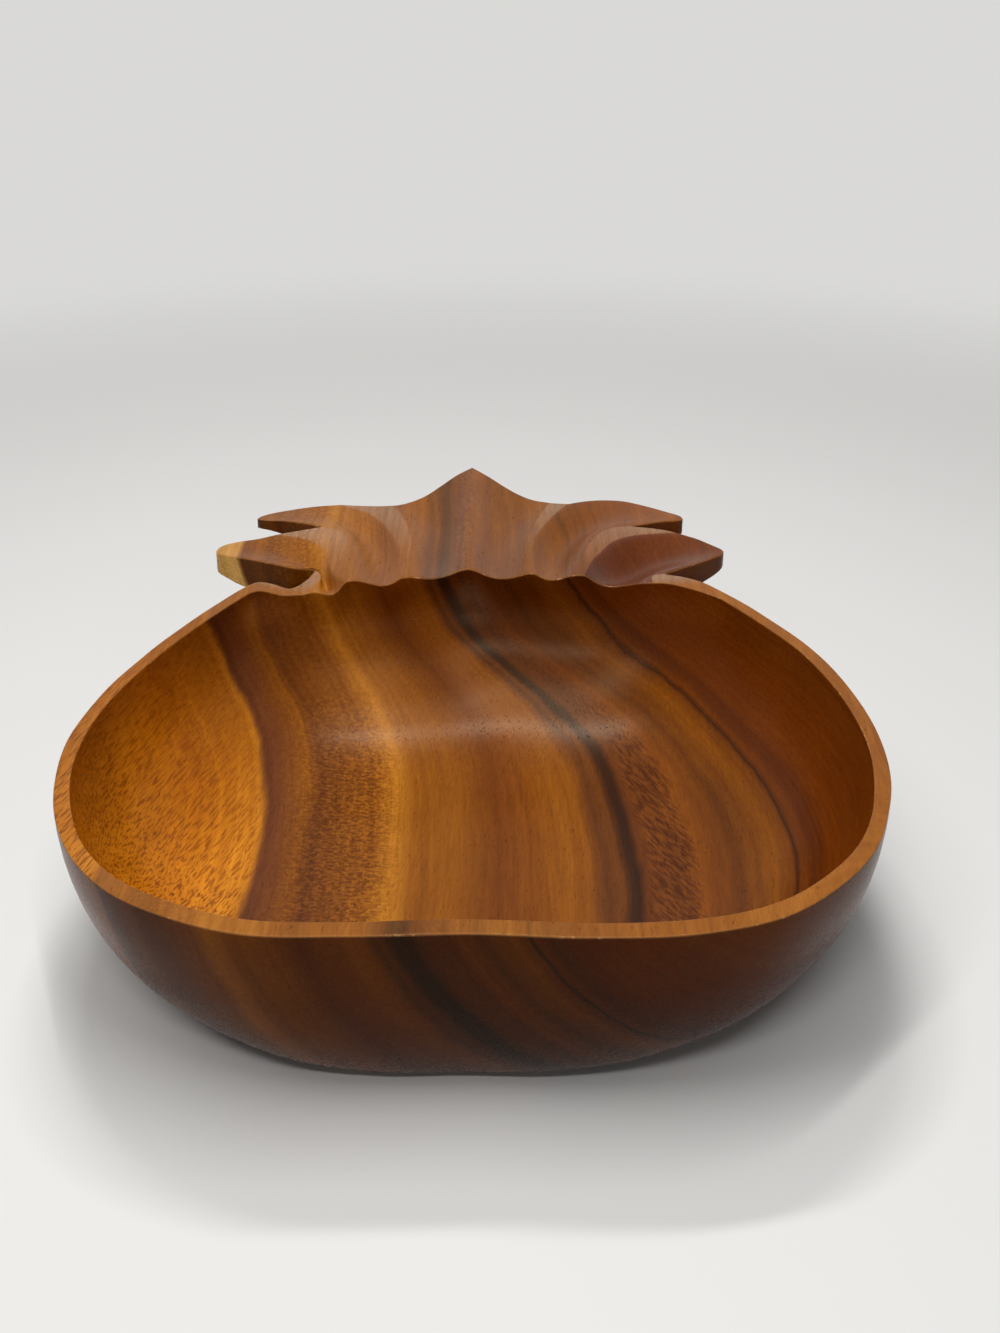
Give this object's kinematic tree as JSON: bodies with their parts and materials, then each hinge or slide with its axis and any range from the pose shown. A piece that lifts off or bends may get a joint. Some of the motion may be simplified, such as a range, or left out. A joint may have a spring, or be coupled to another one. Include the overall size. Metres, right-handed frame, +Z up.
{
  "type": "serving bowl",
  "caption": "Shallow wooden serving bowl carved from one block in the shape of a pineapple, with a flat rim, an oval hollow and a flat crown of gouged leaves behind it.",
  "frame": {"origin": "under the middle of the whole length and width, on the surface that the foot stands on", "axes": "+Z up out of the hollow, +Y from the bowl's front towards the tip of the crown, +X to the right seen from the front"},
  "size_m": [0.28, 0.392, 0.072],
  "materials": {
    "oiled_wood": "oiled and rubbed to a satin sheen"
  },
  "bodies": {
    "root": {"carved_bowl": "oiled_wood"}
  },
  "joints": []
}
